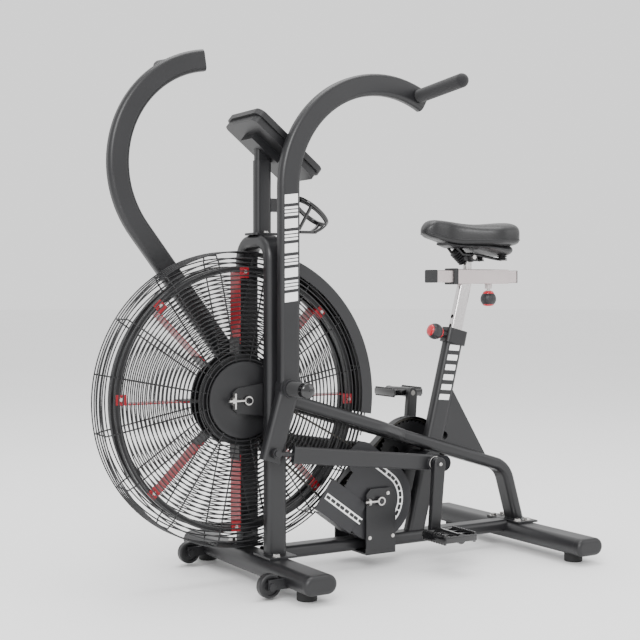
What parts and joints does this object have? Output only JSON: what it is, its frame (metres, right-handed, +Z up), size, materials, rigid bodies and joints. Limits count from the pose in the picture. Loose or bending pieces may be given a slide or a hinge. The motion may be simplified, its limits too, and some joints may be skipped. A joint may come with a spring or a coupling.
{
  "type": "air bike",
  "caption": "Exercise bike with a caged fan driven by chains, swinging arms linked to the cranks, sliding saddle and console.",
  "frame": {"origin": "on the floor, under the middle of the machine's bounding box", "axes": "+X to the rear (from the fan to the saddle), +Y to the rider's right, +Z up"},
  "size_m": [1.165, 0.6, 1.2056],
  "materials": {
    "black_powder_coat": "satin powder coat",
    "black_wire": "satin",
    "red_paint": "satin",
    "zinc_plate": "zinc plated",
    "silver_paint": "satin silver",
    "steel": "machined",
    "black_plastic": "fine texture",
    "gloss_black_plastic": "gloss",
    "rubber": "matte",
    "foam": "soft foam",
    "vinyl": "satin vinyl",
    "screen": "display window",
    "knob_red": "gloss",
    "chain_steel": "oiled"
  },
  "bodies": {
    "root": {"front_stabiliser": "black_powder_coat", "rear_stabiliser": "black_powder_coat", "stabiliser_end_caps": "black_plastic", "rubber_feet": "rubber", "base_rail": "black_powder_coat", "front_fork": "black_powder_coat", "upper_rails": "black_powder_coat", "rear_tube": "black_powder_coat", "seat_tube": "black_powder_coat", "lower_strut": "black_powder_coat", "seat_gusset": "black_powder_coat", "seat_collar": "black_powder_coat", "console_mast": "black_powder_coat", "console_back": "black_plastic", "console_face": "black_plastic", "console_screen": "screen", "bottle_cage": "gloss_black_plastic", "left_fan_guard": "black_wire", "right_fan_guard": "black_wire", "fan_guard_rim": "black_wire", "wind_guard": "black_powder_coat", "axle_plates": "black_powder_coat", "fan_axle": "zinc_plate", "chain_tensioners": "zinc_plate", "jackshaft_bracket": "black_powder_coat", "upper_chain_cover": "black_plastic", "lower_chain_cover": "black_plastic", "crank_chain_guard": "black_powder_coat", "crank_chain": "chain_steel", "fan_chain": "chain_steel", "frame_bolts": "zinc_plate", "pivot_shafts": "steel", "foot_pegs": "foam", "wheel_forks": "black_powder_coat"},
    "left_wheel": {"left_transport_wheel": "black_plastic"},
    "right_wheel": {"right_transport_wheel": "black_plastic"},
    "fan": {"fan_hub": "black_powder_coat", "fan_blades": "red_paint", "fan_hoops": "black_powder_coat"},
    "jack_cluster": {"jackshaft": "steel"},
    "crank": {"crank_spindle": "steel", "crank_sprocket": "steel", "crank_arms": "black_powder_coat"},
    "left_rod": {"left_push_rod": "black_powder_coat"},
    "right_rod": {"right_push_rod": "black_powder_coat"},
    "left_pedal_body": {"left_pedal": "black_plastic"},
    "right_pedal_body": {"right_pedal": "black_plastic"},
    "left_swing_arm": {"left_arm": "black_powder_coat", "left_grip": "foam"},
    "right_swing_arm": {"right_arm": "black_powder_coat", "right_grip": "foam"},
    "post": {"seat_post": "silver_paint", "slider_sleeve": "silver_paint"},
    "saddle_carriage": {"slider_tube": "silver_paint", "saddle_clamp": "black_plastic", "saddle_cushion": "vinyl"},
    "height_pull": {"height_knob": "knob_red"},
    "slider_pull": {"slider_knob": "knob_red"},
    "left_key": {"left_button": "rubber"},
    "right_key": {"right_button": "rubber"}
  },
  "joints": [
    {"name": "crank_spin", "type": "hinge", "parent": "root", "child": "crank", "pos_m": [0.2645, 0, 0.239], "axis": [0, 1, 0], "continuous": true},
    {"name": "jackshaft_spin", "type": "hinge", "parent": "root", "child": "jack_cluster", "pos_m": [0.0945, 0, 0.16], "axis": [0, 1, 0], "continuous": true},
    {"name": "fan_spin", "type": "hinge", "parent": "root", "child": "fan", "pos_m": [-0.2515, 0, 0.411], "axis": [0, 1, 0], "continuous": true},
    {"name": "left_rod_turn", "type": "hinge", "parent": "crank", "child": "left_rod", "pos_m": [0.21895, -0.095, 0.2454], "axis": [0, 1, 0], "continuous": true},
    {"name": "right_rod_turn", "type": "hinge", "parent": "crank", "child": "right_rod", "pos_m": [0.31005, 0.095, 0.2326], "axis": [0, 1, 0], "continuous": true},
    {"name": "left_pedal_spin", "type": "hinge", "parent": "crank", "child": "left_pedal_body", "pos_m": [0.2062, -0.1205, 0.08691], "axis": [0, 1, 0], "continuous": true},
    {"name": "right_pedal_spin", "type": "hinge", "parent": "crank", "child": "right_pedal_body", "pos_m": [0.3228, 0.1205, 0.39109], "axis": [0, 1, 0], "continuous": true},
    {"name": "left_arm_swing", "type": "hinge", "parent": "root", "child": "left_swing_arm", "pos_m": [-0.1725, -0.101, 0.4375], "axis": [0, 1, 0], "range_deg": [-37.33, 0]},
    {"name": "right_arm_swing", "type": "hinge", "parent": "root", "child": "right_swing_arm", "pos_m": [-0.1725, 0.101, 0.4375], "axis": [0, 1, 0], "range_deg": [0, 37.33]},
    {"name": "left_wheel_spin", "type": "hinge", "parent": "root", "child": "left_wheel", "pos_m": [-0.2755, -0.198, 0.031], "axis": [0, 1, 0], "continuous": true},
    {"name": "right_wheel_spin", "type": "hinge", "parent": "root", "child": "right_wheel", "pos_m": [-0.2755, 0.198, 0.031], "axis": [0, 1, 0], "continuous": true},
    {"name": "seat_height_slide", "type": "slide", "parent": "root", "child": "post", "axis": [0.247, 0, 0.969], "range_m": [-0.084, 0.096]},
    {"name": "saddle_slide", "type": "slide", "parent": "post", "child": "saddle_carriage", "axis": [1, 0, 0], "range_m": [-0.025, 0.045]},
    {"name": "height_knob_pull", "type": "slide", "parent": "root", "child": "height_pull", "axis": [-0.969, 0, 0.247], "range_m": [0, 0.009], "stiffness_N_per_m": 800, "springref_m": -0.004},
    {"name": "slider_knob_pull", "type": "slide", "parent": "post", "child": "slider_pull", "axis": [0, 0, -1], "range_m": [0, 0.009], "stiffness_N_per_m": 800, "springref_m": -0.004},
    {"name": "left_button_press", "type": "slide", "parent": "root", "child": "left_key", "axis": [-0.6225, 0, -0.7826], "range_m": [0, 0.0012], "stiffness_N_per_m": 500, "springref_m": -0.001},
    {"name": "right_button_press", "type": "slide", "parent": "root", "child": "right_key", "axis": [-0.6225, 0, -0.7826], "range_m": [0, 0.0012], "stiffness_N_per_m": 500, "springref_m": -0.001}
  ],
  "couplings": [
    {"joint": "jackshaft_spin", "follows": "crank_spin", "ratio": 2.75},
    {"joint": "fan_spin", "follows": "crank_spin", "ratio": 7.8571},
    {"joint": "left_rod_turn", "follows": "crank_spin", "ratio": -1},
    {"joint": "right_rod_turn", "follows": "crank_spin", "ratio": -1},
    {"joint": "right_arm_swing", "follows": "left_arm_swing", "ratio": -1}
  ]
}
